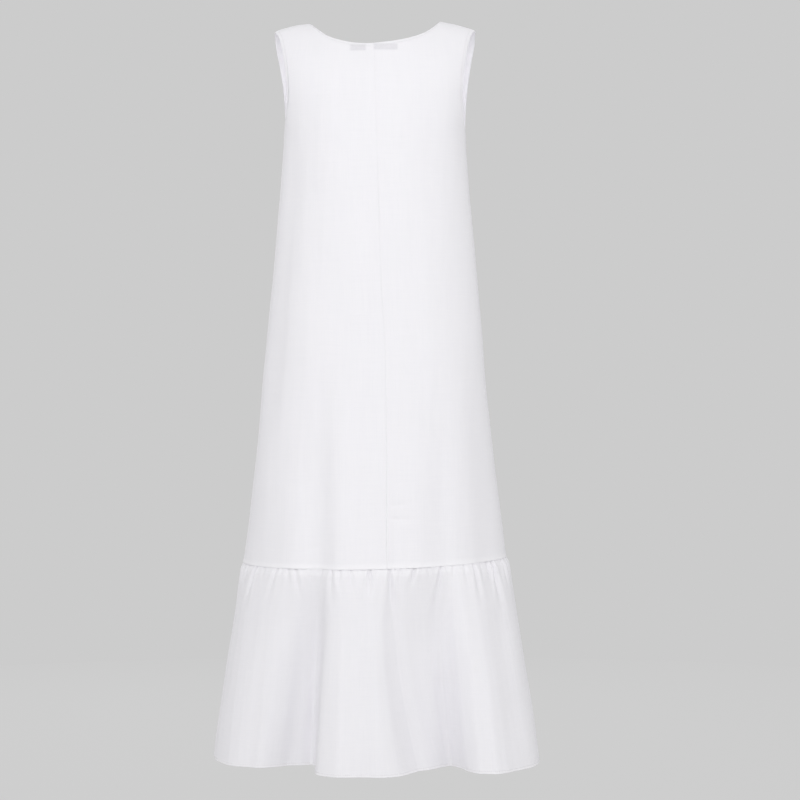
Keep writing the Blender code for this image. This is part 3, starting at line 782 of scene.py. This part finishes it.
def within(away, width):
    """1 in a doubled edge of this width, fading to 0 just past it."""
    return 1 - smooth((away - width) / DOUBLED_FADE)


def inner_side(outer, normals, doubled):
    """The cloth's inner side, further in where the cloth is doubled."""
    return outer - normals * (CLOTH * (1 + DOUBLED_MORE * doubled))[..., None]


Half = namedtuple("Half", "outer inner flat_u flat_v plain normals below_arm")


def half_panel(face, side):
    """The two sides of half a panel's cloth, with its seams, turned edges and creases."""
    fineness = FINENESS[face]
    drops = body_drops(fineness.row_step)
    below_arm = len(drops)
    across = half_shares(fineness.columns, face)
    x, drop = panel_grid(face, side, across, drops, upper_rises(fineness.upper_rows))
    plain = body_point(x, drop, face)
    normals = normals_of(plain, side if face == "back" else -side)
    away = panel_distances(plain, drop, across, below_arm)
    outer = plain + normals * panel_relief(x, drop, face, away)[..., None]
    to_seam = np.minimum.reduce([away.side, away.shoulder, away.flounce])
    if face == "back":
        to_seam = np.minimum(to_seam, away.centre)
    hemmed = within(np.minimum(away.neck, away.armhole), NARROW_HEM)
    doubled = np.maximum(hemmed, within(to_seam, SEAM_ALLOWANCE))
    inner = inner_side(outer, normals, doubled)
    at_shoulder = across >= NECK_SHARE - 1e-6
    for grid in (outer, inner):
        grid[0, :, 2] = -SEAM_DROP
        grid[:below_arm, -1, 1] = 0
        grid[-1, at_shoulder, 1] = 0
    inner[:, 0, 0] = outer[:, 0, 0]
    return Half(outer, inner, side * away.centre, away.flounce, plain, normals, below_arm)


# The plain outer sides of the pieces by name, on which the stitches are set
SURFACES = {}


def back_panel(name, node, side, material):
    """One half of the back, parted from the other by the centre seam."""
    half = half_panel("back", side)
    for grid in (half.outer, half.inner):
        grid[..., 0] += side * SEWN_GAP / 2
        grid[..., 1] += SEWN_GAP / 2
    SURFACES[name] = (half.plain, half.normals, half.below_arm)
    grids = half[:4]
    if side > 0:
        grids = [grid[:, ::-1] for grid in grids]
    piece = cloth_object(name, *grids, material)
    sewn(piece, node)


def front_panel(name, node, material):
    """The whole front in one piece, from its two halves."""
    right, left = half_panel("front", -1), half_panel("front", 1)
    SURFACES[name + "_right"] = (right.plain, right.normals, right.below_arm)
    SURFACES[name + "_left"] = (left.plain, left.normals, left.below_arm)
    pairs = zip(right[:4], left[:4])
    grids = [np.concatenate([one[:, :0:-1], other], axis=1) for one, other in pairs]
    for grid in grids[:2]:
        grid[..., 1] -= SEWN_GAP / 2
    piece = cloth_object(name, *grids, material)
    sewn(piece, node)


def seam_ring(face, count=2001):
    """The body's lower edge in plan, with its folds, from one side seam to the other."""
    angle = np.linspace(0, np.pi, count)
    sign = 1 if face == "back" else -1
    x = sign * SECTIONS[-1].back_half * np.cos(angle)
    return body_point(x, np.full(count, SEAM_DROP), face)[:, :2]


def way_along(line):
    """How far along a line each of its points is."""
    steps = np.linalg.norm(np.diff(line, axis=0), axis=1)
    return np.concatenate([[0], np.cumsum(steps)])


def plan_share(line):
    """The share of a line's length at each of its points, and that length."""
    way = way_along(line)
    return way / way[-1], way[-1]


def gather_offset(share, run, gathers, length):
    """How far the gathers move the cloth outwards, by share round and run down."""
    puff = PUFF * smooth(run / 0.012) * (1 - smooth((run - 0.015) / 0.095))
    offset = ridge(run, GATHER_TUCK, 0.0009) + puff + 0 * share
    for gather in gathers:
        drift = -gather.lean * run
        half_width = GATHER_WIDTH + GATHER_SPREAD * run
        off_line = np.abs((share - gather.share) * length - drift) / half_width
        held = 0.50 + 0.50 * smooth(run / 0.009)
        fading = 1 - smooth(run / (1.35 * gather.run))
        valley = np.exp(-(off_line**1.5))
        shoulders = ridge(off_line - 2.1, 0.34, 1.0)
        offset = offset - 1.15 * gather.depth * (valley - shoulders) * held * fading
    uneven = 0.6 + 0.4 * np.sin(share * 53 + 1.0)
    phase = 2 * np.pi * share * length / SMALL_GATHER_PITCH + 5 * np.sin(share * 37)
    small = SMALL_GATHER * uneven * np.sin(phase)
    return offset + small * smooth(run / 0.002) * (1 - smooth(run / 0.016))


def flounce_shares(gathers, length):
    """Columns of the flounce: close in each gather, and no more than a step apart between."""
    closest, widest = 0.0003, 0.0021
    near = np.array([-2.0, -1.25, -0.65, -0.25, 0.25, 0.65, 1.25, 2.0]) * 0.0030
    shares = [0.0, 0.0005 / length, 0.0012 / length]
    for gather in gathers:
        shares += [gather.share + step / length for step in near]
    shares += [1 - 0.0012 / length, 1 - 0.0005 / length, 1.0]
    shares = sorted(share for share in shares if 0 <= share <= 1)
    filled = [0.0]
    for share in shares[1:]:
        gap = (share - filled[-1]) * length
        if gap < closest:
            continue
        parts = max(1, int(np.ceil(gap / widest)))
        filled += list(np.linspace(filled[-1], share, parts + 1)[1:])
    filled[-1] = 1.0
    return np.array(filled)


def flounce_runs():
    """Rows of the flounce: close under the seam and at the hem."""
    under_seam = np.array([0, 0.0007, 0.0015, 0.0025, 0.004, 0.006, 0.0082, 0.0106, 0.0132, 0.016])
    middle = np.linspace(0.019, FLOUNCE_DEPTH - FLOUNCE_HEM - 0.004, 68)
    at_hem = FLOUNCE_DEPTH - FLOUNCE_HEM + np.array([-0.0020, -0.0008, 0.0002, 0.0012])
    at_edge = FLOUNCE_DEPTH - np.array([0.0033, 0.0022, 0.0011, 0.0005, 0.0])
    return np.concatenate([under_seam, middle, at_hem, at_edge])


def flounce_grid(face, shares, runs):
    """The flounce's plain outer side: rows down from the seam, columns round the half."""
    hem = HEM_BACK if face == "back" else HEM_FRONT
    line = seam_ring(face)
    line_share = plan_share(line)[0]
    top = np.stack([np.interp(shares, line_share, line[:, axis]) for axis in (0, 1)], axis=-1)
    low = np.stack([along(hem, "share", axis, shares) for axis in ("x", "y")], axis=-1)
    sway = along(hem, "share", "sway", shares)
    run = runs[:, None]
    t = run / FLOUNCE_DEPTH
    flare = 1 - (1 - t) ** FLARE
    plan = top[None] + (low - top)[None] * flare[..., None]
    plan[..., 0] += 4 * t * (1 - t) * sway[None]
    drop = SEAM_DROP + run + 0 * shares[None]
    return np.concatenate([plan, -drop[..., None]], axis=-1)


def flounce(name, node, face, material):
    """Half of the flounce, gathered into the seam and hanging in deep flutes."""
    gathers = GATHERS_BACK if face == "back" else GATHERS_FRONT
    length = plan_share(seam_ring(face))[1]
    shares = flounce_shares(gathers, length)
    runs = flounce_runs()
    plain = flounce_grid(face, shares, runs)
    share, run = shares[None], runs[:, None]
    tangent = np.gradient(plain[..., :2], axis=1)
    tangent /= np.linalg.norm(tangent, axis=-1, keepdims=True)
    outward = np.stack([tangent[..., 1], -tangent[..., 0], 0 * tangent[..., 0]], axis=-1)
    away_side = np.minimum(arc_from(plain, 1, 0), arc_from(plain, 1, -1))
    flat_u = share * FLOUNCE_WIDTH + 0 * run
    flat_v = 0 * share - run
    offset = gather_offset(share, run, gathers, length) * (0.25 + 0.75 * smooth(away_side / 0.008))
    offset = offset + waves(flat_u, run, FLOUNCE_WAVES) * smooth((run - 0.01) / 0.08)
    offset = offset + seam_relief(away_side) * smooth(run / 0.004)
    outer = plain + outward * offset[..., None]
    normals = normals_of(outer, 1)
    away_hem = FLOUNCE_DEPTH - run + 0 * share
    outer = outer + normals * hem_relief(away_hem, FLOUNCE_HEM)[..., None]
    doubled = np.maximum(within(away_hem, FLOUNCE_HEM), within(away_side, SEAM_ALLOWANCE))
    inner = inner_side(outer, normals, doubled)
    for grid in (outer, inner):
        grid[0, :, 2] = -SEAM_DROP - SEWN_GAP
        grid[-1, :, 2] = -HEM_DROP
        grid[:, (0, -1), 1] = 0
        grid[..., 1] += SEWN_GAP / 2 if face == "back" else -SEWN_GAP / 2
    SURFACES[name] = (outer, normals, runs)
    grids = (grid[:, ::-1] for grid in (outer, inner, flat_u, flat_v))
    piece = cloth_object(name, *grids, material)
    sewn(piece, node)


def ribbon_label(spec, material):
    """A blank woven strip hung inside the back neck, close on the inner side of the cloth."""
    width = spec.x_high - spec.x_low
    x = np.linspace(spec.x_low, spec.x_high, 40)[None, :]
    hang = np.linspace(0, 1, 18)[:, None]
    drop = edge_drop(x, "back") + LABEL_START + spec.hang * hang
    x = x + 0 * drop
    plain = body_point(x, drop, "back")
    normals = normals_of(plain, -1)
    stand = LABEL_STAND + LABEL_CURL * hang * np.sin(np.pi * (x - spec.x_low) / width)
    outer = plain - normals * stand[..., None]
    inner = outer - normals * LABEL_WALL
    flat_u, flat_v = x - spec.x_low, 0 * x - spec.hang * hang
    piece = cloth_object(spec.name + "_ribbon", outer, inner, flat_u, flat_v, material)
    sewn(piece, spec.name)


def read_at(places, way, values):
    """Points or directions along a line, read at distances along it."""
    return np.stack([np.interp(places, way, values[:, k]) for k in range(3)], -1)


def line_in_from_edge(points, normals, way, distance):
    """The line that runs at a distance in from an edge, with the cloth's direction there.

    Each row of the three grids crosses the edge, and way is how far its points are from it.
    """
    line, facing = [], []
    for row, row_normals, row_way in zip(points, normals, way):
        order = np.argsort(row_way)
        line.append(read_at(distance, row_way[order], row[order]))
        facing.append(read_at(distance, row_way[order], row_normals[order]))
    return np.array(line), np.array(facing)


def one_stitch():
    """A short stitch of thread: a low capsule lying along X, sunk at both ends."""
    bpy.ops.object.select_all(action="DESELECT")
    bpy.ops.mesh.primitive_cylinder_add(
        vertices=6, radius=STITCH_RADIUS, depth=STITCH_LENGTH, rotation=(0, np.pi / 2, 0)
    )
    stitch = bpy.context.object
    bpy.ops.object.transform_apply(location=True, rotation=True, scale=True)
    bpy.ops.object.mode_set(mode="EDIT")
    bpy.ops.mesh.select_all(action="DESELECT")
    bpy.ops.object.mode_set(mode="OBJECT")
    for polygon in stitch.data.polygons:
        polygon.select = abs(polygon.normal.x) > 0.9
    bpy.ops.object.mode_set(mode="EDIT")
    bpy.ops.mesh.extrude_faces_move(
        MESH_OT_extrude_faces_indiv={}, TRANSFORM_OT_shrink_fatten={"value": STITCH_END}
    )
    bpy.ops.mesh.inset(thickness=0.00008, depth=0)
    bpy.ops.object.mode_set(mode="OBJECT")
    points = np.array([v.co for v in stitch.data.vertices])
    sunk = np.abs(points[:, 0]) > STITCH_LENGTH / 2 + STITCH_END / 4
    points[sunk, 2] -= STITCH_RADIUS
    faces = [list(p.vertices) for p in stitch.data.polygons]
    bpy.data.objects.remove(stitch)
    return points, faces


def stitches(name, lines, pitch, template, material):
    """Rows of stitches along lines on the cloth, joined into one piece."""
    points, faces = template
    all_points = []
    for line, facing in lines:
        way = way_along(line)
        places = np.arange(pitch, way[-1] - pitch / 2, pitch)
        middle = read_at(places, way, line)
        up = read_at(places, way, facing)
        forward = read_at(places + 0.0008, way, line) - read_at(places - 0.0008, way, line)
        forward /= np.linalg.norm(forward, axis=1, keepdims=True)
        up -= forward * (up * forward).sum(1, keepdims=True)
        up /= np.linalg.norm(up, axis=1, keepdims=True)
        left = np.cross(up, forward)
        placed = (
            middle[:, None]
            + points[None, :, :1] * forward[:, None]
            + points[None, :, 1:2] * left[:, None]
            + points[None, :, 2:] * up[:, None]
        )
        all_points.append(placed.reshape(-1, 3))
    all_points = tilted(np.concatenate(all_points))
    starts = range(0, len(all_points), len(points))
    all_faces = [[corner + start for corner in face] for start in starts for face in faces]
    mesh = bpy.data.meshes.new(name)
    mesh.from_pydata(all_points.tolist(), [], all_faces)
    mesh.polygons.foreach_set("use_smooth", np.ones(len(all_faces), bool))
    mesh.materials.append(material)
    made = bpy.data.objects.new(name, mesh)
    bpy.context.collection.objects.link(made)
    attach(made, "root")


def edge_stitches(template, thread):
    """The rows of stitches that hold the turned edges of the neck, armholes and hem."""
    in_from_edge = NARROW_HEM - STITCH_INSET
    neck, left_arm, right_arm, hem = [], [], [], []
    halves = (
        ("back_left_cloth", left_arm),
        ("back_right_cloth", right_arm),
        ("front_cloth_left", left_arm),
        ("front_cloth_right", right_arm),
    )
    for name, arm in halves:
        plain, normals, below_arm = SURFACES[name]
        at_neck = np.abs(plain[-1, :, 0]) < NECK_POINT - 0.004
        down_from_neck = (plain, normals, arc_from(plain, 0, -1))
        neck_grids = (grid[:, at_neck].swapaxes(0, 1) for grid in down_from_neck)
        neck.append(line_in_from_edge(*neck_grids, in_from_edge))
        in_from_arm = (plain, normals, arc_from(plain, 1, -1))
        arm_grids = (grid[below_arm + 3 : -4] for grid in in_from_arm)
        arm.append(line_in_from_edge(*arm_grids, in_from_edge))
    for name in ("flounce_back_cloth", "flounce_front_cloth"):
        outer, normals, runs = SURFACES[name]
        row = int(np.argmin(np.abs(runs - (FLOUNCE_DEPTH - FLOUNCE_HEM + STITCH_INSET))))
        hem.append((outer[row], normals[row]))
    stitches("neck_stitches", neck, EDGE_PITCH, template, thread)
    stitches("left_armhole_stitches", left_arm, EDGE_PITCH, template, thread)
    stitches("right_armhole_stitches", right_arm, EDGE_PITCH, template, thread)
    stitches("hem_stitches", hem, HEM_PITCH, template, thread)


class Value:
    """A number that changes over a surface, with arithmetic that adds Math nodes."""

    def __init__(self, finish, socket):
        self.finish = finish
        self.socket = socket

    def worked(self, operation, first, second):
        """The result of one Math node."""
        sockets = {0: first, 1: second}
        made = self.finish.node("ShaderNodeMath", {"operation": operation}, sockets)
        return Value(self.finish, made.outputs[0])

    def __add__(self, other):
        return self.worked("ADD", self, other)

    __radd__ = __add__

    def __sub__(self, other):
        return self.worked("SUBTRACT", self, other)

    def __rsub__(self, other):
        return self.worked("SUBTRACT", other, self)

    def __mul__(self, other):
        return self.worked("MULTIPLY", self, other)

    __rmul__ = __mul__

    def sine(self):
        return self.worked("SINE", self, 0)

    def size(self):
        return self.worked("ABSOLUTE", self, 0)

    def step(self, low, high):
        """A soft step from 0 at low to 1 at high."""
        settings = {"interpolation_type": "SMOOTHSTEP"}
        made = self.finish.node("ShaderNodeMapRange", settings, {0: self, 1: low, 2: high})
        return Value(self.finish, made.outputs[0])


class Finish:
    """A material, whose nodes are all made in one way."""

    def __init__(self, name):
        self.material = bpy.data.materials.new(name)
        self.material.use_nodes = True
        self.nodes = self.material.node_tree.nodes
        self.links = self.material.node_tree.links
        self.shader = self.nodes["Principled BSDF"]

    def node(self, kind, settings=None, sockets=None):
        """A node of this kind, with its settings made before its sockets."""
        made = self.nodes.new(kind)
        for name, value in (settings or {}).items():
            setattr(made, name, value)
        for key, value in (sockets or {}).items():
            self.put(made.inputs[key], value)
        return made

    def put(self, socket, value):
        """Links a value to a socket, or sets the socket to a number or a colour."""
        if isinstance(value, Value):
            value = value.socket
        if isinstance(value, bpy.types.NodeSocket):
            self.links.new(value, socket)
        else:
            socket.default_value = value

    def shade(self, **looks):
        """Sets the shader's sockets, by their names with _ for each space."""
        for name, value in looks.items():
            self.put(self.shader.inputs[name.replace("_", " ")], value)

    def separated(self, vector):
        """The three numbers of a vector."""
        parts = self.node("ShaderNodeSeparateXYZ", {}, {0: vector}).outputs
        return [Value(self, part) for part in parts]

    def noise(self, vector, scale, detail=2.0, roughness=0.5):
        """Soft random mottling, from 0 to 1."""
        sockets = {"Vector": vector, "Scale": scale, "Detail": detail, "Roughness": roughness}
        return Value(self, self.node("ShaderNodeTexNoise", {}, sockets).outputs[0])

    def stretched(self, vector, scale):
        """A place on the surface, scaled by its own amount in each direction."""
        return self.node("ShaderNodeMapping", {}, {"Vector": vector, "Scale": scale}).outputs[0]

    def mixed(self, share, first, second):
        """A mix of two colours, each given as three numbers or as a socket."""
        sockets = {"Factor": share}
        for key, colour in ((6, first), (7, second)):
            sockets[key] = colour if isinstance(colour, bpy.types.NodeSocket) else (*colour, 1)
        return self.node("ShaderNodeMix", {"data_type": "RGBA"}, sockets).outputs[2]

    def bumped(self, height, distance, strength, over=None):
        """A bump's normals, over those of another bump where one is given."""
        sockets = {"Height": height, "Distance": distance, "Strength": strength}
        if over is not None:
            sockets["Normal"] = over
        return self.node("ShaderNodeBump", {}, sockets).outputs[0]


def linen_finish():
    """White plain-woven linen: threads of uneven thickness, and the labels' painted shadow showing
    through.
    """
    finish = Finish("white linen")
    cut = finish.node("ShaderNodeUVMap", {"uv_map": "cut"}).outputs[0]
    across, down = finish.separated(cut)[:2]
    lengthwise = finish.noise(finish.stretched(cut, (520, 14, 1)), 1.0, 3.0, 0.6)
    crosswise = finish.noise(finish.stretched(cut, (16, 480, 1)), 1.0, 3.0, 0.6)
    slubs = lengthwise * 0.55 + crosswise * 0.45
    broad = finish.noise(finish.stretched(cut, (9, 3.5, 1)), 1.0, 2.0)
    turns = 2 * np.pi / THREAD_PITCH
    wander = broad * 3.0
    weave = (across * (turns / 2) + wander).sine() * (down * (turns / 2) + wander).sine()
    warp = (across * turns + wander).sine()
    weft = (down * turns).sine()
    threads = weave * 0.5 + warp * 0.25 + weft * 0.25

    tone = (slubs - 0.5) * 1.6 + (broad - 0.5) * 0.5 + 0.35
    above_seam = down.step(0.0000, 0.0004) * (1 - down.step(*ABOVE_SEAM_FADE)) * ABOVE_SEAM_SHARE
    hem_fold = FLOUNCE_HEM - FLOUNCE_DEPTH
    at_hem = (1 - down.step(hem_fold + AT_HEM_FADE[0], hem_fold + AT_HEM_FADE[1])) * AT_HEM_SHARE
    single = finish.mixed(tone.step(0.0, 1.0), LINEN, LINEN_SHADE)
    doubled = finish.mixed(above_seam + at_hem, single, LINEN_DOUBLED)
    fine = finish.bumped(threads, 0.00010, 0.55)
    # The labels' shadow through the thin cloth is painted darker into the base colour
    finish.shade(
        Base_Color=finish.mixed(painted_label_shadow(finish), doubled, LABEL_PAINTED_SHADOW),
        Roughness=0.84 + slubs * 0.10,
        Normal=finish.bumped(slubs, 0.00035, 0.60, over=fine),
        Sheen_Weight=0.10,
        Sheen_Roughness=0.6,
        Specular_IOR_Level=0.25,
    )
    return finish.material


def painted_label_shadow(finish):
    """1 where the labels' shadow is painted on the back's cloth over them, just under the neckline."""
    place = finish.node("ShaderNodeTexCoord").outputs["Object"]
    x, y, z = finish.separated(place)
    found = 0.0
    for spec in LABELS:
        middle = (spec.x_low + spec.x_high) / 2
        half = (spec.x_high - spec.x_low) / 2
        edge = -float(edge_drop(np.array(middle), "back"))
        top = edge - SHADE_INSET
        low = edge - spec.hang
        between_sides = 1 - (x - middle).size().step(half + SHADE_SIDES[0], half + SHADE_SIDES[1])
        above_foot = z.step(low + SHADE_FOOT[0], low + SHADE_FOOT[1])
        below_top = 1 - z.step(top + SHADE_TOP[0], top + SHADE_TOP[1])
        found = found + between_sides * above_foot * below_top
    uneven = finish.noise(place, 260.0, 2.0)
    return found * y.step(0.030, 0.034) * (0.55 + uneven * 0.7)


def ribbon_finish():
    """Smooth woven ribbon of the blank labels."""
    finish = Finish("grey label ribbon")
    cut = finish.node("ShaderNodeUVMap", {"uv_map": "cut"}).outputs[0]
    across, down = finish.separated(cut)[:2]
    ribs_down = (down * (2 * np.pi / RIB_DOWN)).sine()
    ribs_across = (across * (2 * np.pi / RIB_ACROSS)).sine()
    grain = finish.noise(finish.stretched(cut, (900, 120, 1)), 1.0, 2.0)
    finish.shade(
        Base_Color=finish.mixed(grain, RIBBON_DARK, RIBBON_LIGHT),
        Roughness=0.55 + grain * 0.15,
        Normal=finish.bumped(ribs_down * 0.6 + ribs_across * 0.4, 0.00008, 0.6),
    )
    return finish.material


def thread_finish():
    """White sewing thread with a low twist."""
    finish = Finish("white sewing thread")
    twist = finish.noise(finish.node("ShaderNodeTexCoord").outputs["Object"], 2600.0, 1.0)
    finish.shade(
        Base_Color=finish.mixed(twist, THREAD_LIGHT, THREAD_DARK),
        Roughness=0.55 + twist * 0.2,
        Normal=finish.bumped(twist, 0.00005, 0.5),
    )
    return finish.material


def studio():
    """A plain pale floor under the dress, even light all round, and soft boxes on every side."""
    world = bpy.data.worlds.new("even light")
    bpy.context.scene.world = world
    world.use_nodes = True
    sky = world.node_tree.nodes["Background"].inputs
    sky["Color"].default_value = (BACKDROP, BACKDROP, BACKDROP, 1)
    sky["Strength"].default_value = 1.0
    finish = Finish("pale studio floor")
    finish.shade(
        Base_Color=(0.05, 0.05, 0.05, 1),
        Roughness=1.0,
        Specular_IOR_Level=0.0,
        Emission_Color=(BACKDROP, BACKDROP, BACKDROP, 1),
        Emission_Strength=FLOOR_GLOW,
    )
    bpy.ops.object.select_all(action="DESELECT")
    bpy.ops.mesh.primitive_circle_add(
        vertices=64, radius=FLOOR_RADIUS, fill_type="NGON", location=(0, 0, -FLOOR_DROP)
    )
    floor = bpy.context.object
    floor.name = "studio_floor"
    floor.data.materials.append(finish.material)
    for box in SOFT_BOXES:
        soft_box(box)
    for name, place in INSIDE_PLACES:
        glow_inside(name, place)


def soft_box(box):
    """A square lamp turned towards the middle of the dress."""
    light = bpy.data.lights.new(box.name, "AREA")
    light.shape = "SQUARE"
    light.size = box.size
    light.energy = box.power
    lamp = bpy.data.objects.new(box.name, light)
    lamp.location = box.place
    aim = np.array(LIT_POINT) - np.array(box.place)
    turn = np.arctan2(aim[0], -aim[1])
    lamp.rotation_euler = (np.pi / 2 + np.arctan2(aim[2], np.hypot(aim[0], aim[1])), 0, np.pi + turn)
    bpy.context.collection.objects.link(lamp)


def glow_inside(name, place):
    """A faint light inside an armhole, for the light that comes through the thin cloth."""
    light = bpy.data.lights.new(name, "POINT")
    light.shadow_soft_size = INSIDE_SIZE
    light.energy = INSIDE_POWER
    lamp = bpy.data.objects.new(name, light)
    lamp.location = place
    lamp.visible_camera = False
    bpy.context.collection.objects.link(lamp)


def back_view_camera():
    """The camera behind the dress, level with its middle, as the picture was taken."""
    camera = bpy.data.cameras.new("back view")
    camera.lens = LENS
    camera.sensor_width = SENSOR
    placed = bpy.data.objects.new("back_view_camera", camera)
    placed.location = (CAMERA_ASIDE, CAMERA_AWAY, -CAMERA_LEVEL)
    placed.rotation_euler = (np.pi / 2, 0, np.pi)
    bpy.context.collection.objects.link(placed)
    bpy.context.scene.camera = placed


def main():
    """Dresses every solid, sets the stitches, and lights the scene."""
    back_view_camera()
    linen, ribbon, thread = linen_finish(), ribbon_finish(), thread_finish()
    back_panel("back_left_cloth", "back_left", 1, linen)
    back_panel("back_right_cloth", "back_right", -1, linen)
    front_panel("front_cloth", "front_body", linen)
    flounce("flounce_back_cloth", "flounce_back", "back", linen)
    flounce("flounce_front_cloth", "flounce_front", "front", linen)
    for spec in LABELS:
        ribbon_label(spec, ribbon)
    edge_stitches(one_stitch(), thread)
    studio()
    bpy.context.scene.view_settings.view_transform = "Standard"


main()
